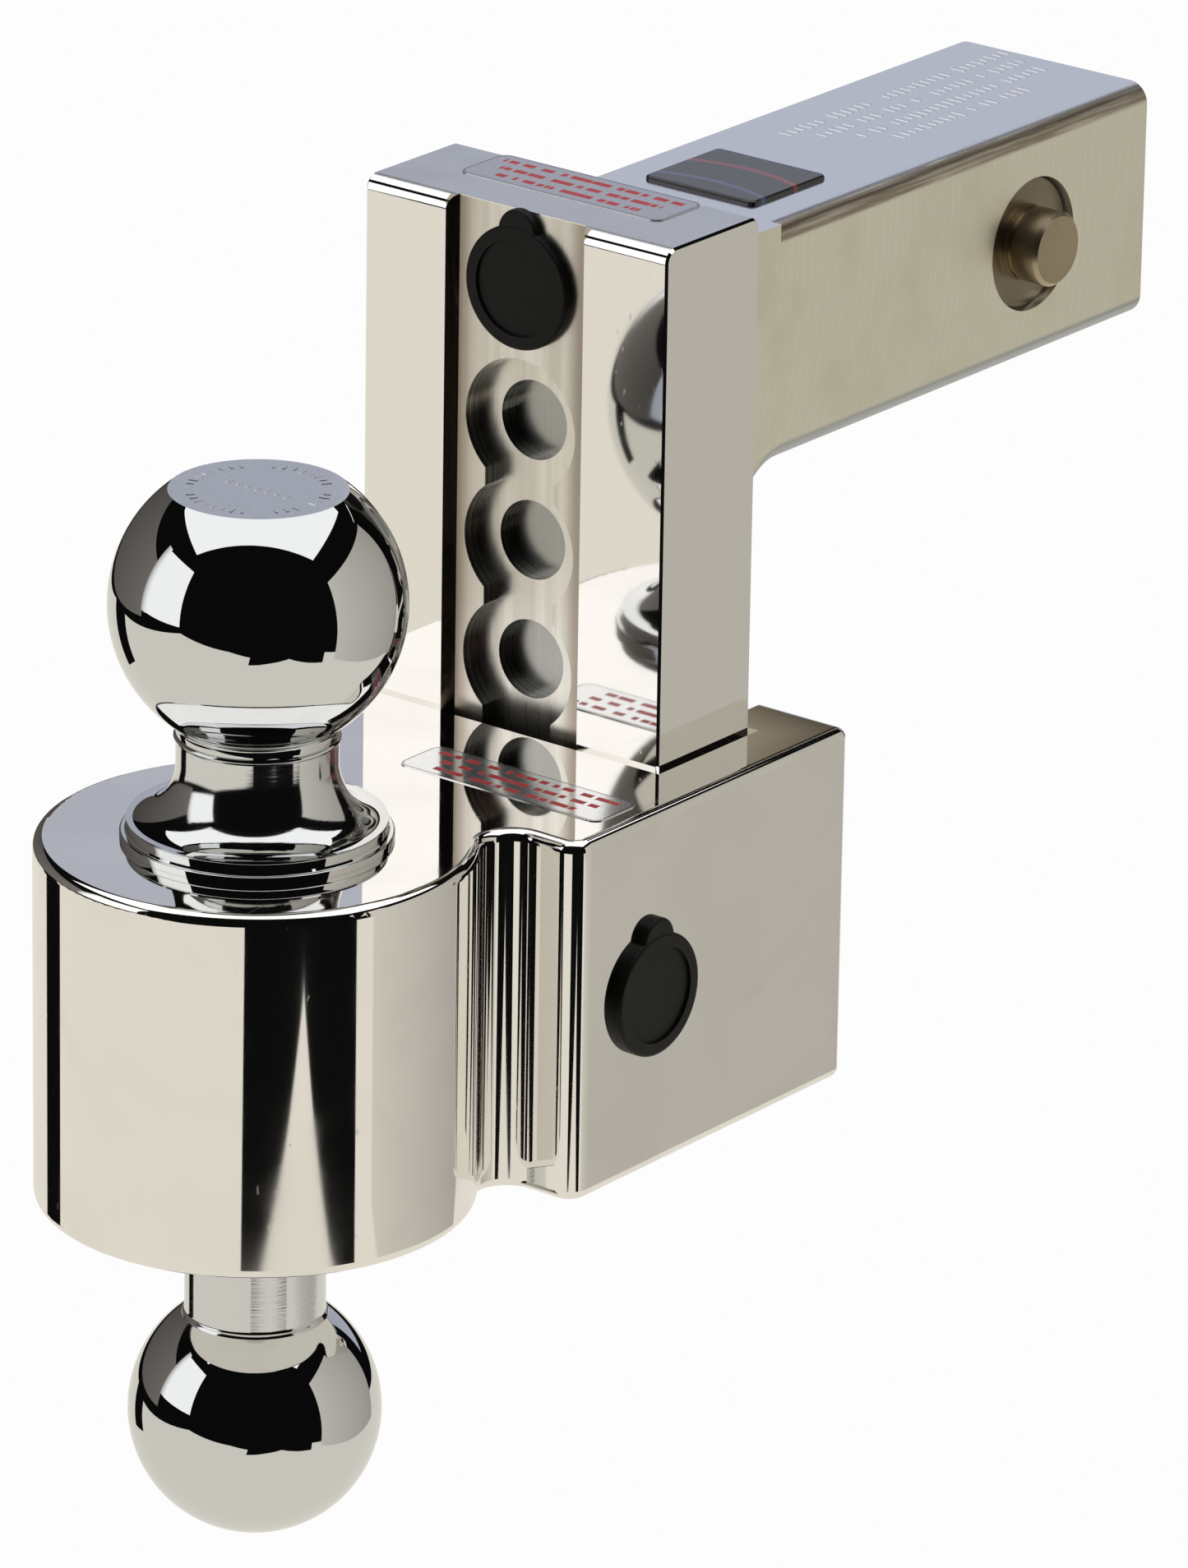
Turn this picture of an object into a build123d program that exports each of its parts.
from build123d import *
import math
import os

# Adjustable two-ball trailer hitch, in millimetres.
# Origin: where the hitch pin's axis crosses the middle of the shank.
# +X: right-hand hitch pin.  +Y: along the shank, to the vehicle.  +Z: up.

# ---- Drawbar: shank, rib and post in one machined billet ----
shank_size = 50.8
pin_to_shank_end = 40.6
pin_to_post_face = 141.2
post_width = 76.2
flange_depth = 30.0
rib_depth = 14.0
post_rise = 10.2            # post top above shank top
post_length = 171.5
shank_edge_radius = 4.5
shank_end_chamfer = 1.0
shank_neck = 10.0           # length behind the rib where the shank's top edges are still square
under_radius = 12.7         # fillet between rib and shank underside
post_front_radius = 3.0
post_rear_radius = 2.5
small_edge = 0.5
past = 1.0                  # how far a cut runs past the face that it opens
light_chamfer = 0.6
pin_end_chamfer = 0.8

# ---- Height pockets down the post's front channel ----
channel_width = 35.0
channel_depth = 2.6
channel_slope = 1.6
pocket_pitch = 25.4
pocket_count = 5
pocket_radius = 13.9
pocket_depth = 4.6
pocket_hole_radius = 8.3
pocket_hole_depth = 4.3
pocket_slot_width = 17.5
top_pocket_below_top = 45.15

# ---- Ball block ----
block_height = 76.2
block_width = 104.2
block_rear_depth = 45.1     # behind the post's front face
block_front_depth = 43.4    # ahead of the post's front face
nose_radius = 44.0
ball_axis_ahead = 78.7      # ball axis ahead of the post's front face
waist_radius = 6.0
block_front_corner = 4.5
block_rear_corner = 2.0
block_edge_radius = 2.2
rib_room = 4.0              # from the rib to the hooks on either side
slide_clearance = 0.3
slot_rim = 1.1              # bevel round the slot's two mouths

# ---- Balls ----
large_ball_radius = 29.37   # 2 5/16 inch ball
large_ball_height = 48.2    # centre above the block
large_flat_radius = 17.65
large_neck_radius = 16.0
skirt_radius = 25.7
lip_radius = 27.0
lip_height = 1.5
skirt_height = 4.0          # from the block to the foot of the flare
flare_top = 16.0
seat_gap = 0.2              # between the stud's end and the floor of its bore
small_ball_radius = 25.4    # 2 inch ball
small_ball_drop = 46.1      # centre below the block
small_flat_radius = 8.0
small_neck_radius = 14.1
stud_radius = 15.875
stud_length = 62.0
thread_radius = 9.525
thread_length = 22.0        # below the block's underside
bore_clearance = 0.15

# ---- Locks ----
lock_above_shaft = 19.7     # post lock axis above the shaft's, which is the gears' distance
block_lock_behind = -19.0   # block lock axis, from the post's front face
lock_radius = 11.5
lock_length = 8.0
lock_recess = 2.0
core_radius = 8.0
core_set_back = 0.4         # core's front behind the housing's
tail_radius = 4.0
tail_pilot_depth = 5.0
tail_end_gap = 0.5
running_clearance = 0.05
clip_thickness = 0.8
clip_groove_depth = 0.7
clip_groove_start = 0.3
clip_groove_width = 1.0
clip_play = 0.05
clip_overhang = 1.0         # past the core, over the housing's end
clip_opening = 5.0
square_side = 5.0
cap_radius = 12.8
cap_thickness = 2.2
cap_disc_radius = 10.0
cap_tab_radius = 4.9
cap_tab_reach = 3.4
cap_edge_radius = 0.7
cap_sunk = 0.6
cap_tab_below = 0.2         # tab's face below the rim's
cap_wall = 1.9
cap_play = 0.1
key_slot = (1.4, 6.0, 5.0)

# ---- Hitch pins and their cam ----
pin_radius = 7.9375         # 5/8 inch pin
pin_guide_radius = 8.0      # the stretch that runs in the retainer
pin_reach = 6.35            # past the shank's side
pin_groove_radius = 7.4     # relief where the pin leaves the shank's recess
pin_groove_width = 0.8
pin_flange_radius = 13.8
pin_flange_thickness = 2.5
pin_bore_radius = 14.3
retainer_thickness = 4.4
retainer_recess = 2.0
cam_peak = 10.6
cam_rise = 4.1              # rise per radian of turn
cam_thickness = 12.0
cam_gap = 0.15
shaft_radius = 6.35
shaft_end_room = 0.5
shaft_neck_radius = 3.7     # between the drawn-in pins' flanges
screw_radius = 1.25
screw_length = 7.0
screw_head = (3.4, 2.0)     # radius, thickness
screw_slot = (0.8, 1.0)     # width, depth
shaft_bore_radius = 12.0
end_plug_thickness = 9.0
end_plug_set_back = 1.0
end_plug_slot = (2.0, 16.0, 2.0)
gear_teeth = 16
gear_thickness = 6.0
gear_flank_relief = 0.08
pressure_angle = math.radians(25)
bush_length = 8.0
bush_gap = 1.0
spring_play = 0.05          # at each end of every spring
spring_turns = 2.5
pin_spring_wire = 0.6

# ---- Height plunger ----
plunger_radius = 13.5
plunger_tip_radius = 8.0
plunger_tip_length = 5.3
plunger_flange_radius = 15.5
plunger_flange_thickness = 2.0
plunger_bore_radius = 15.8
plunger_ring_radius = 18.0
plunger_ring_thickness = 2.5
plunger_set_back = 0.2      # head behind the block's slot face when released
pilot_radius = 2.4
pilot_depth = 6.0
plunger_spring_wire = 0.55
lock_end_room = 2.0         # behind the block's lock housing, for its clip

# ---- Labels and badge ----
film_thickness = 0.2
post_label_size = (51.0, 15.0)
block_label_size = (51.0, 13.5)
badge_size = (28.0, 25.0)
badge_thickness = 0.9
badge_edge_radius = 0.6
film_corner_radius = 2.5
badge_corner_radius = 1.5
post_label_behind = 21.0    # label centre behind the post's front face
block_label_place = (21.5, -24.0)   # across, and from the post's front face
badge_behind = 28.0         # badge centre behind the rib

# ---- Places worked out from the sizes above ----
shank_half = shank_size / 2
post_face = -pin_to_post_face
flange_back = post_face + flange_depth
rib_back = flange_back + rib_depth
post_top = shank_half + post_rise
post_bottom = post_top - post_length
post_lock_z = lock_above_shaft
top_pocket_z = post_top - top_pocket_below_top
low_pocket_z = top_pocket_z - pocket_pitch * (pocket_count - 1)
channel_floor = post_face + channel_depth
pocket_floor = channel_floor + pocket_depth
pocket_hole_floor = pocket_floor + pocket_hole_depth
block_mid = low_pocket_z
block_top = block_mid + block_height / 2
block_bottom = block_mid - block_height / 2
ball_y = post_face - ball_axis_ahead
slot_face = post_face - slide_clearance
block_lock_y = post_face + block_lock_behind
gear_distance = post_lock_z
gear_module = gear_distance / gear_teeth
cam_low = cam_peak - cam_rise * math.pi / 2
gear_start = post_face + 15.5
gear_room = 0.8
chamber_start = gear_start - gear_room
chamber_end = gear_start + gear_thickness + gear_room
pin_flange_inner = cam_peak + cam_gap
pin_flange_outer = pin_flange_inner + pin_flange_thickness
retainer_outer = shank_half - retainer_recess
retainer_inner = retainer_outer - retainer_thickness
cam_half = cam_thickness / 2
shaft_end = -pin_bore_radius - shaft_end_room
pilot_reach = plunger_bore_radius + pilot_depth


def cylinder_x(radius, x0, x1, y=0.0, z=0.0):
    place = Plane(origin=(x0, y, z), x_dir=(0, 1, 0), z_dir=(1, 0, 0))
    return extrude(place * Circle(radius), x1 - x0)


def cylinder_y(radius, y0, y1, x=0.0, z=0.0):
    place = Plane(origin=(x, y0, z), x_dir=(-1, 0, 0), z_dir=(0, 1, 0))
    return extrude(place * Circle(radius), y1 - y0)


def cylinder_z(radius, z0, z1, x=0.0, y=0.0):
    return extrude(Plane.XY.offset(z0) * Pos(x, y) * Circle(radius), z1 - z0)


def box(x0, x1, y0, y1, z0, z1):
    return Pos((x0 + x1) / 2, (y0 + y1) / 2, (z0 + z1) / 2) * Box(x1 - x0, y1 - y0, z1 - z0)


def save(shape, node):
    export_step(shape, f"parts/{node}.step")


def face_frame(x, y, z, outward):
    """A frame on a vertical face: local z points out of the face and local y points up."""
    across = Vector(0, 0, 1).cross(Vector(*outward))
    return Plane(origin=(x, y, z), x_dir=across, z_dir=outward)


post_lock_place = face_frame(0, channel_floor, post_lock_z, (0, -1, 0))
block_lock_place = face_frame(block_width / 2, block_lock_y, block_mid, (1, 0, 0))


# ---- Drawbar ----
def post_flange():
    """The post's wide front plate, with its top front and top rear edges rounded."""
    flange = box(-post_width / 2, post_width / 2, post_face, flange_back, post_bottom, post_top)
    across = flange.edges().filter_by(Axis.X).group_by(Axis.Z)[-1].sort_by(Axis.Y)
    flange = fillet(across[0], post_front_radius)
    across = flange.edges().filter_by(Axis.X).group_by(Axis.Z)[-1].sort_by(Axis.Y)
    flange = fillet(across[-1], post_rear_radius)
    return chamfer(flange.edges().filter_by(Axis.Z), small_edge)


def rib_and_shank():
    """The rib down the post's back, the shank behind it and the fillet between them."""
    corner_y, corner_z = rib_back + under_radius, -shank_half - under_radius
    bar = box(-shank_half, shank_half, flange_back, rib_back, post_bottom, shank_half)
    bar += box(-shank_half, shank_half, rib_back, pin_to_shank_end, -shank_half, shank_half)
    web = box(-shank_half, shank_half, rib_back, corner_y, corner_z, -shank_half)
    bar += web - cylinder_x(under_radius, -shank_half, shank_half, corner_y, corner_z)
    for side in (-shank_half, shank_half):
        face = bar.faces().filter_by_position(Axis.X, side - light_chamfer, side + light_chamfer)
        rim = face[0].outer_wire().edges()
        long_edges = rim.filter_by(lambda edge: edge.center().Y > rib_back - light_chamfer)
        long_edges = long_edges.filter_by(lambda edge: edge.center().Y < pin_to_shank_end - past)
        bar = fillet(long_edges, shank_edge_radius)
    bar = chamfer(bar.faces().sort_by(Axis.Y)[-1].edges(), shank_end_chamfer)
    return bar + box(-shank_half, shank_half, flange_back, rib_back + shank_neck, 0, shank_half)


def channel_cut():
    """The sloped-wall channel down the whole front of the post."""
    mouth, floor = channel_width / 2, channel_width / 2 - channel_slope
    widening = channel_slope / channel_depth * past
    outline = Polyline(
        (-mouth - widening, post_face - past),
        (mouth + widening, post_face - past),
        (floor, channel_floor),
        (-floor, channel_floor),
        close=True,
    )
    start = Plane.XY.offset(post_bottom - past)
    return extrude(start * make_face(outline), post_length + 2 * past)


def pocket_cuts():
    """Round pockets with blind holes, joined by one slot as deep as the pockets."""
    cuts = box(-pocket_slot_width / 2, pocket_slot_width / 2, channel_floor - past, pocket_floor,
               low_pocket_z, top_pocket_z)
    for row in range(pocket_count):
        z = low_pocket_z + row * pocket_pitch
        cuts += cylinder_y(pocket_radius, channel_floor - past, pocket_floor, z=z)
        cuts += cylinder_y(pocket_hole_radius, pocket_floor - past, pocket_hole_floor, z=z)
    return cuts


def drawbar_bores():
    """Lock bore and tail pilot in the post, the long shaft bore and the cross bore for the pins."""
    bores = cylinder_y(lock_radius, channel_floor - past, chamber_end, z=post_lock_z)
    bores += cylinder_y(tail_radius + running_clearance, chamber_end - past,
                        chamber_end + tail_pilot_depth, z=post_lock_z)
    bores += cylinder_y(shaft_bore_radius, chamber_start, pin_to_shank_end + past)
    bores += cylinder_x(pin_bore_radius, -shank_half - past, shank_half + past)
    return bores


def drawbar():
    billet = post_flange() + rib_and_shank()
    return billet - channel_cut() - pocket_cuts() - drawbar_bores()


def shank_end_plug():
    back = pin_to_shank_end - end_plug_set_back
    slot_width, slot_length, slot_depth = end_plug_slot
    plug = cylinder_y(shaft_bore_radius, back - end_plug_thickness, back)
    plug = chamfer(plug.faces().sort_by(Axis.Y)[-1].edges(), light_chamfer)
    return plug - box(-slot_width / 2, slot_width / 2, back - slot_depth, back + past,
                      -slot_length / 2, slot_length / 2)


# ---- Locks: the same housing, clip and dust cap serve the post and the block ----
def lock_housing():
    """Ring pressed into the lock bore, behind the cap's spigot."""
    ring = extrude(Plane.XY.offset(-lock_recess) * Circle(lock_radius), -lock_length)
    return ring - extrude(Circle(core_radius + running_clearance), -lock_recess - lock_length)


def lock_core(tail_end):
    """Keyed core with a round tail that reaches tail_end below the mounting face."""
    front = -lock_recess - core_set_back
    back = -lock_recess - lock_length
    core = extrude(Plane.XY.offset(front) * Circle(core_radius), back - front)
    core += extrude(Plane.XY.offset(back) * Circle(tail_radius), -tail_end - back)
    groove_top = Plane.XY.offset(back - clip_groove_start)
    groove = extrude(groove_top * Circle(tail_radius), -clip_groove_width)
    groove -= extrude(groove_top * Circle(tail_radius - clip_groove_depth), -clip_groove_width)
    slot_width, slot_height, slot_depth = key_slot
    keyhole = Pos(0, 0, front - slot_depth / 2) * Box(slot_width, slot_height, slot_depth)
    return core - groove - keyhole


def lock_clip():
    """Open ring in the groove of the lock core's tail."""
    in_groove = (clip_groove_width - clip_thickness) / 2
    top = -lock_recess - lock_length - clip_groove_start - in_groove
    start = Plane.XY.offset(top)
    clip = extrude(start * Circle(core_radius + clip_overhang), -clip_thickness)
    clip -= extrude(start * Circle(tail_radius - clip_groove_depth + clip_play), -clip_thickness)
    gap = Pos(0, -core_radius, top) * Box(clip_opening, core_radius * 2, clip_thickness * 3)
    return clip - gap


def dust_cap():
    """Rubber cap: a rim, a sunk disc, a pull tab on top and a spigot in the lock's recess."""
    tab_centre = cap_radius + cap_tab_reach - cap_tab_radius
    disc = extrude(Circle(cap_radius), cap_thickness)
    disc = fillet(disc.faces().sort_by(Axis.Z)[-1].edges(), cap_edge_radius)
    tab = extrude(Pos(0, tab_centre) * Circle(cap_tab_radius), cap_thickness - cap_tab_below)
    body = disc + fillet(tab.faces().sort_by(Axis.Z)[-1].edges(), cap_edge_radius)
    body -= extrude(Plane.XY.offset(cap_thickness - cap_sunk) * Circle(cap_disc_radius), past)
    spigot_radius = lock_radius - cap_play
    spigot = extrude(Circle(spigot_radius), cap_play * 2 - lock_recess)
    spigot -= extrude(Circle(spigot_radius - cap_wall), -lock_recess)
    return body + spigot


# ---- Gears, cams and the long shaft ----
def involute(angle):
    return math.tan(angle) - angle


def spur_gear(module, teeth, thickness, bore, first_tooth):
    """Spur gear along local +Z, with one tooth centred at the angle first_tooth."""
    pitch_radius = module * teeth / 2
    base_radius = pitch_radius * math.cos(pressure_angle)
    root_radius = pitch_radius - 1.25 * module
    tip_radius = pitch_radius + module
    half = math.pi / 2 / teeth - gear_flank_relief / pitch_radius + involute(pressure_angle)
    radii = [base_radius + (tip_radius - base_radius) * step / 5 for step in range(6)]
    flank = [(radius, half - involute(math.acos(base_radius / radius))) for radius in radii]
    flank = [(root_radius, flank[0][1])] + flank
    points = []
    for tooth in range(teeth):
        middle = first_tooth + 2 * math.pi * tooth / teeth
        sides = [(r, middle - a) for r, a in flank] + [(r, middle + a) for r, a in reversed(flank)]
        points += [(r * math.cos(a), r * math.sin(a)) for r, a in sides]
    blank = extrude(make_face(Polyline(*points, close=True)), thickness)
    return blank - extrude(Circle(bore), thickness)


def cam_blank():
    """Cam along local +Z whose flat follower rises in step with the turn.

    Each flank is an involute: at the normal angle a its support is cam_peak - cam_rise * a.
    """
    steps = 8
    flank = []
    for step in range(steps + 1):
        a = math.pi / 2 * step / steps
        support = cam_peak - cam_rise * a
        flank.append((support * math.cos(a) + cam_rise * math.sin(a),
                      support * math.sin(a) - cam_rise * math.cos(a)))
    other = [(-x, -y) for x, y in flank]
    outline = Spline(*flank) + Line(flank[-1], other[0]) + Spline(*other) + Line(other[-1], flank[0])
    blank = extrude(make_face(outline), cam_thickness)
    return blank - Pos(0, 0, cam_half) * Box(square_side, square_side, cam_thickness)


def pin_cam():
    return Plane(origin=(0, cam_half, 0), x_dir=(1, 0, 0), z_dir=(0, -1, 0)) * cam_blank()


def height_cam():
    place = Plane(origin=(-cam_half, block_lock_y, block_mid), x_dir=(0, 0, -1), z_dir=(1, 0, 0))
    return place * cam_blank()


def gear_place(z):
    return Plane(origin=(0, gear_start, z), x_dir=(-1, 0, 0), z_dir=(0, 1, 0))


def lock_gear():
    down = -math.pi / 2
    return gear_place(post_lock_z) * spur_gear(gear_module, gear_teeth, gear_thickness,
                                               tail_radius, down)


def shaft_gear():
    up = math.pi / 2 + math.pi / gear_teeth
    return gear_place(0) * spur_gear(gear_module, gear_teeth, gear_thickness, tail_radius, up)


def cam_shaft():
    """Long shaft from the gears to the pin cam, with a square end for the cam."""
    shaft = cylinder_y(tail_radius, gear_start, gear_start + gear_thickness)
    shaft += cylinder_y(shaft_radius, gear_start + gear_thickness, shaft_end)
    shaft += cylinder_y(shaft_neck_radius, shaft_end, -cam_half)
    shaft += box(-square_side / 2, square_side / 2, -cam_half, cam_half,
                 -square_side / 2, square_side / 2)
    return shaft - cylinder_y(screw_radius, cam_half - screw_length - past, cam_half)


def cam_screw():
    head_radius, head_thickness = screw_head
    slot_width, slot_depth = screw_slot
    head_end = cam_half + head_thickness
    screw = cylinder_y(screw_radius, cam_half - screw_length, cam_half)
    screw += cylinder_y(head_radius, cam_half, head_end)
    return screw - box(-slot_width / 2, slot_width / 2, head_end - slot_depth, head_end + past,
                       -head_radius, head_radius)


def shaft_bush(y0):
    bush = cylinder_y(shaft_bore_radius, y0, y0 + bush_length)
    return bush - cylinder_y(shaft_radius + running_clearance, y0, y0 + bush_length)


# ---- Hitch pins ----
def hitch_pin():
    """The right-hand pin: a plain end outside and a flange inside for the cam and spring."""
    groove_start = shank_half - pin_groove_width
    pin = cylinder_x(pin_flange_radius, pin_flange_inner, pin_flange_outer)
    pin += cylinder_x(pin_guide_radius, pin_flange_outer, groove_start)
    pin += cylinder_x(pin_groove_radius, groove_start, shank_half)
    pin += cylinder_x(pin_radius, shank_half, shank_half + pin_reach)
    return chamfer(pin.faces().sort_by(Axis.X)[-1].edges(), pin_end_chamfer)


def pin_retainer():
    """Threaded ring that closes the cross bore and guides the pin."""
    ring = cylinder_x(pin_bore_radius, retainer_inner, retainer_outer)
    ring = chamfer(ring.faces().sort_by(Axis.X)[-1].edges(), light_chamfer)
    bore = pin_guide_radius + running_clearance
    return ring - cylinder_x(bore, retainer_inner, retainer_outer)


def coil(radius, wire, length):
    """Round-wire coil spring along local +Z that fills length."""
    rise = length - 2 * wire
    path = Helix(rise / spring_turns, rise, radius)
    profile = Plane(origin=path @ 0, z_dir=path % 0) * Circle(wire)
    return Pos(0, 0, wire) * sweep(profile, path=path, is_frenet=True)


def pin_spring():
    start = pin_flange_outer + spring_play
    length = retainer_inner - spring_play - start
    place = Plane(origin=(start, 0, 0), x_dir=(0, 1, 0), z_dir=(1, 0, 0))
    return place * coil((pin_guide_radius + pin_bore_radius) / 2, pin_spring_wire, length)


# ---- Ball block ----
def block_plan():
    """Round nose about the ball axis, a waist and a square rear body."""
    front, rear = post_face - block_front_depth, post_face + block_rear_depth
    half = block_width / 2
    body = Pos(0, (front + rear) / 2) * Rectangle(block_width, rear - front)
    corners = body.vertices().sort_by(Axis.Y)
    body = fillet(corners[:2], block_front_corner)
    corners = body.vertices().group_by(Axis.Y)[-1]
    body = fillet(corners, block_rear_corner)
    plan = body + Pos(0, ball_y) * Circle(nose_radius)
    waist = [v for v in plan.vertices() if abs(v.Y - front) < 0.01 and abs(v.X) < nose_radius
             and abs(v.X) < half - block_front_corner - past]
    return fillet(waist, waist_radius)


def slot_plan():
    """T-slot round the post's flange, open to the rear between the two hooks."""
    half = post_width / 2 + slide_clearance
    slot = Pos(0, (slot_face + flange_back + slide_clearance) / 2) * Rectangle(
        2 * half, flange_back + slide_clearance - slot_face)
    gap_end = post_face + block_rear_depth + past
    gap = Pos(0, (flange_back + gap_end) / 2) * Rectangle(
        shank_size + 2 * rib_room, gap_end - flange_back)
    return slot + gap


def stud_bores():
    stud_floor = block_top - stud_length
    bores = cylinder_z(stud_radius + bore_clearance, stud_floor, block_top + past, y=ball_y)
    return bores + cylinder_z(thread_radius + bore_clearance, block_bottom - past,
                              stud_floor + past, y=ball_y)


def plunger_bores():
    bottom = block_lock_y - math.hypot(cam_peak, cam_rise) - past
    bores = cylinder_y(plunger_bore_radius, bottom, slot_face + past, z=block_mid)
    return bores + cylinder_y(plunger_ring_radius, slot_face - plunger_ring_thickness,
                              slot_face + past, z=block_mid)


def block_lock_bores():
    side = block_width / 2
    lock_floor = side - lock_recess - lock_length - lock_end_room
    bores = cylinder_x(lock_radius, lock_floor, side + past, block_lock_y, block_mid)
    bores += cylinder_x(tail_radius + running_clearance, 0, lock_floor + past, block_lock_y,
                        block_mid)
    return bores + cylinder_x(pilot_radius + running_clearance, -pilot_reach - tail_end_gap, 0,
                              block_lock_y, block_mid)


def ball_block():
    block = extrude(Plane.XY.offset(block_bottom) * block_plan(), block_height)
    rims = block.faces().sort_by(Axis.Z)[-1].edges() + block.faces().sort_by(Axis.Z)[0].edges()
    block = fillet(rims, block_edge_radius)
    block -= extrude(Plane.XY.offset(block_bottom - past) * slot_plan(), block_height + 2 * past)
    for mouth, outward in ((block_top, 1), (block_bottom, -1)):
        start = Plane.XY.offset(mouth - outward * slot_rim)
        block -= extrude(start * slot_plan(), outward * (slot_rim + past), taper=-45)
    return block - stud_bores() - plunger_bores() - block_lock_bores()


def block_lock_core():
    """The common core, with a square for the cam and a pilot beyond it."""
    core = block_lock_place * lock_core(block_width / 2 - cam_half)
    half = square_side / 2
    core += box(-cam_half, cam_half, block_lock_y - half, block_lock_y + half,
                block_mid - half, block_mid + half)
    return core + cylinder_x(pilot_radius, -pilot_reach, -cam_half, block_lock_y, block_mid)


def height_plunger():
    """Mushroom plunger: flange for its spring, head for the pocket, tip for the blind hole."""
    tail = block_lock_y + cam_low + cam_gap
    head = slot_face - plunger_set_back
    plunger = cylinder_y(plunger_flange_radius, tail, tail + plunger_flange_thickness,
                         z=block_mid)
    plunger += cylinder_y(plunger_radius, tail + plunger_flange_thickness, head, z=block_mid)
    plunger += cylinder_y(plunger_tip_radius, head, head + plunger_tip_length, z=block_mid)
    return chamfer(plunger.faces().sort_by(Axis.Y)[-1].edges(), pin_end_chamfer)


def plunger_retainer():
    back = slot_face - plunger_ring_thickness
    ring = cylinder_y(plunger_ring_radius, back, slot_face, z=block_mid)
    return ring - cylinder_y(plunger_radius + running_clearance, back, slot_face, z=block_mid)


def plunger_spring():
    start = block_lock_y + cam_low + cam_gap + plunger_flange_thickness + spring_play
    length = slot_face - plunger_ring_thickness - spring_play - start
    place = Plane(origin=(0, start, block_mid), x_dir=(-1, 0, 0), z_dir=(0, 1, 0))
    return place * coil((plunger_radius + plunger_bore_radius) / 2, plunger_spring_wire, length)


# ---- Balls ----
def ball_large():
    """Upper ball, neck, flared skirt, thin lip, stud and threaded end, turned in one piece."""
    centre = large_ball_height
    flat = math.sqrt(large_ball_radius ** 2 - large_flat_radius ** 2)
    neck = math.sqrt(large_ball_radius ** 2 - large_neck_radius ** 2)
    middle = math.sqrt(0.5)
    flare_r, flare_z = skirt_radius - large_neck_radius, flare_top - skirt_height
    stud_end = seat_gap - stud_length
    thread_end = -block_height - thread_length
    outline = [
        Line((0, centre + flat), (large_flat_radius, centre + flat)),
        ThreePointArc((large_flat_radius, centre + flat), (large_ball_radius, centre),
                      (large_neck_radius, centre - neck)),
        Line((large_neck_radius, centre - neck), (large_neck_radius, flare_top)),
        ThreePointArc((large_neck_radius, flare_top),
                      (skirt_radius - flare_r * middle, skirt_height + flare_z * (1 - middle)),
                      (skirt_radius, skirt_height)),
        Polyline((skirt_radius, skirt_height), (skirt_radius, lip_height),
                 (lip_radius, lip_height), (lip_radius, 0), (stud_radius, 0),
                 (stud_radius, stud_end), (thread_radius, stud_end),
                 (thread_radius, thread_end), (0, thread_end), (0, centre + flat)),
    ]
    ball = revolve(Plane.XZ * make_face(outline), Axis.Z)
    return Pos(0, ball_y, block_top) * ball


def ball_small():
    """Lower ball with its neck, tapped for the upper ball's threaded end."""
    centre = -small_ball_drop
    neck = math.sqrt(small_ball_radius ** 2 - small_neck_radius ** 2)
    flat = math.sqrt(small_ball_radius ** 2 - small_flat_radius ** 2)
    outline = [
        Line((0, 0), (small_neck_radius, 0)),
        Line((small_neck_radius, 0), (small_neck_radius, centre + neck)),
        ThreePointArc((small_neck_radius, centre + neck), (small_ball_radius, centre),
                      (small_flat_radius, centre - flat)),
        Line((small_flat_radius, centre - flat), (0, centre - flat)),
        Line((0, centre - flat), (0, 0)),
    ]
    ball = revolve(Plane.XZ * make_face(outline), Axis.Z)
    ball -= extrude(Circle(thread_radius), -thread_length - past)
    return Pos(0, ball_y, block_bottom) * ball


# ---- Labels and badge ----
def film(size, thickness, radius, x, y, z):
    return extrude(Plane(origin=(x, y, z)) * RectangleRounded(*size, radius), thickness)


def badge():
    plate = film(badge_size, badge_thickness, badge_corner_radius, 0, rib_back + badge_behind,
                 shank_half)
    return fillet(plate.faces().sort_by(Axis.Z)[-1].edges(), badge_edge_radius)


os.makedirs("parts", exist_ok=True)

save(drawbar(), "drawbar")
save(shank_end_plug(), "shank_end_plug")
save(post_lock_place * lock_housing(), "post_lock_housing")
save(post_lock_place * lock_clip(), "post_lock_clip")
tail_end = chamber_end + tail_pilot_depth - tail_end_gap - channel_floor
save(post_lock_place * lock_core(tail_end), "post_lock_core")
save(post_lock_place * dust_cap(), "post_dust_cap")
save(lock_gear(), "lock_gear")
save(shaft_gear(), "shaft_gear")
save(cam_shaft(), "cam_shaft")
save(pin_cam(), "pin_cam")
save(cam_screw(), "cam_screw")
save(shaft_bush(chamber_end + bush_gap), "shaft_bush_front")
save(shaft_bush(-pin_bore_radius - bush_gap - bush_length), "shaft_bush_rear")

for side, make_side in (("right", lambda part: part), ("left", lambda part: part.mirror(Plane.YZ))):
    save(make_side(hitch_pin()), f"hitch_pin_{side}")
    save(make_side(pin_retainer()), f"pin_retainer_{side}")
    save(make_side(pin_spring()), f"pin_spring_{side}")

save(ball_block(), "ball_block")
save(ball_large(), "ball_large")
save(ball_small(), "ball_small")
save(height_plunger(), "height_plunger")
save(plunger_retainer(), "plunger_retainer")
save(plunger_spring(), "plunger_spring")
save(height_cam(), "height_cam")
save(block_lock_core(), "block_lock_core")
save(block_lock_place * lock_housing(), "block_lock_housing")
save(block_lock_place * lock_clip(), "block_lock_clip")
save(block_lock_place * dust_cap(), "block_dust_cap")

label_x, label_ahead = block_label_place
save(film(post_label_size, film_thickness, film_corner_radius, 0, post_face + post_label_behind,
          post_top), "post_label")
save(film(block_label_size, film_thickness, film_corner_radius, label_x,
          post_face + label_ahead, block_top), "block_label")
save(badge(), "shank_badge")
